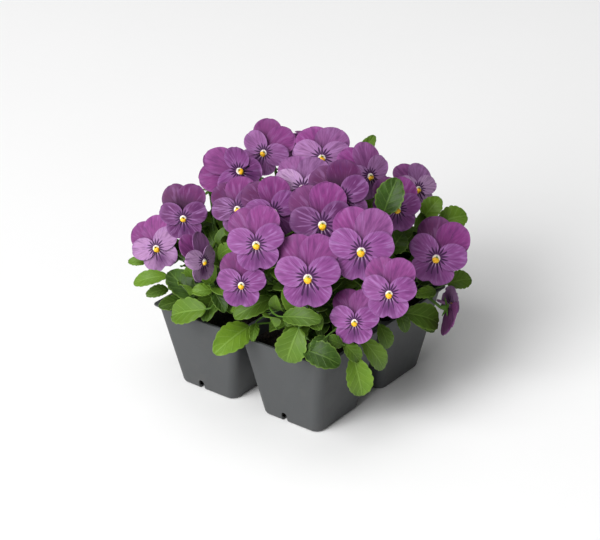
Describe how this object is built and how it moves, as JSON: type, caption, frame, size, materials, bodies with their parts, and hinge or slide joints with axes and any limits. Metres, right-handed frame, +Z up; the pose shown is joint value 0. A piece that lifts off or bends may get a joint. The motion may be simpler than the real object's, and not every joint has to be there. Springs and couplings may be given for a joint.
{
  "type": "potted horned violet",
  "caption": "Flowering horned violets in a joined pack of square plastic cells: purple yellow-eyed blooms over low crenate green foliage, potting soil in each cell.",
  "frame": {"origin": "centre of the bottom of the object's box: the middle of the pack's four feet, on the ground", "axes": "+Z up; -X and -Y face the two outer sides of the front cell, the corner nearest the picture's camera; rows of cells run along X and Y"},
  "size_m": [0.1996, 0.2304, 0.1689],
  "materials": {
    "plastic": "semi-matt dark grey thermoformed plastic",
    "soil": "dark damp potting soil, crumbly",
    "foliage": "satin green leaves and stems",
    "petal": "soft velvety purple petals with a yellow eye"
  },
  "bodies": {
    "root": {"cell_pack": "plastic", "soil_front": "soil", "soil_left": "soil", "soil_right": "soil", "soil_back": "soil", "plant_front": "foliage", "plant_left": "foliage", "plant_right": "foliage", "plant_back": "foliage", "bloom_01": "petal", "bloom_02": "petal", "bloom_03": "petal", "bloom_04": "petal", "bloom_05": "petal", "bloom_06": "petal", "bloom_07": "petal", "bloom_08": "petal", "bloom_09": "petal", "bloom_10": "petal", "bloom_11": "petal", "bloom_12": "petal", "bloom_13": "petal", "bloom_14": "petal", "bloom_15": "petal", "bloom_16": "petal", "bloom_17": "petal", "bloom_18": "petal", "bloom_19": "petal", "bloom_20": "petal", "bloom_21": "petal", "bloom_22": "petal", "bloom_23": "petal", "bloom_24": "petal", "bloom_25": "petal", "bloom_26": "petal", "bloom_27": "petal", "bloom_28": "petal", "bloom_29": "petal", "bud": "petal"}
  },
  "joints": []
}
